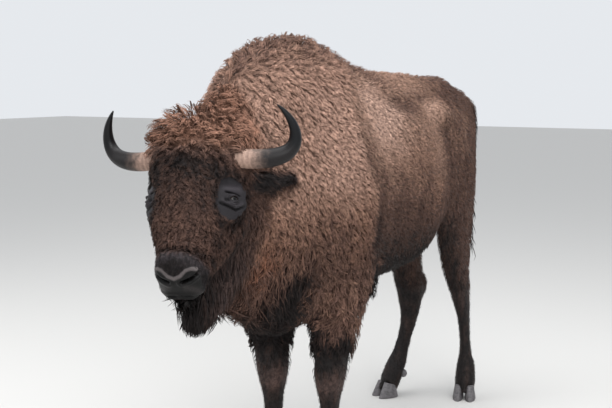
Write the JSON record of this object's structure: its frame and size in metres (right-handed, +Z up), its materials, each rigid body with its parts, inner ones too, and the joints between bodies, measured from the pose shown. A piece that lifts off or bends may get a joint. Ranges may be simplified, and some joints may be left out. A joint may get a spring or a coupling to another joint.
{
  "type": "wisent",
  "caption": "Life-size still model of a standing wisent bull (European bison) with a high shaggy hump, lowered horned head, black beard and cloven hooves.",
  "frame": {"origin": "on the floor at the middle of the footprint", "axes": "+Z up; -Y the way the animal's body faces; +X its left side"},
  "size_m": [0.6832, 2.6958, 1.7938],
  "materials": {
    "coat": "dense matt fur, warm brown, longer and woolly over the hump and shoulders",
    "dark_coat": "matt blackish-brown fur of the legs, tail and beard",
    "horn": "satin slate-grey horn, paler and worn at the root, dark at the tip",
    "hoof": "dull blue-grey horn with fine growth rings, scuffed at the edge",
    "eye": "wet glossy dark brown"
  },
  "bodies": {
    "root": {"trunk": "coat", "neck": "coat", "head": "coat", "ear_left": "coat", "ear_right": "coat", "beard": "dark_coat", "sheath_tuft": "dark_coat", "tail": "dark_coat", "foreleg_left": "dark_coat", "foreleg_right": "dark_coat", "hindleg_left": "dark_coat", "hindleg_right": "dark_coat", "horn_left": "horn", "horn_right": "horn", "eye_left": "eye", "eye_right": "eye", "hoof_fore_left_a": "hoof", "hoof_fore_left_b": "hoof", "hoof_fore_right_a": "hoof", "hoof_fore_right_b": "hoof", "hoof_hind_left_a": "hoof", "hoof_hind_left_b": "hoof", "hoof_hind_right_a": "hoof", "hoof_hind_right_b": "hoof", "dewclaw_fore_left_a": "hoof", "dewclaw_fore_left_b": "hoof", "dewclaw_fore_right_a": "hoof", "dewclaw_fore_right_b": "hoof", "dewclaw_hind_left_a": "hoof", "dewclaw_hind_left_b": "hoof", "dewclaw_hind_right_a": "hoof", "dewclaw_hind_right_b": "hoof"}
  },
  "joints": []
}
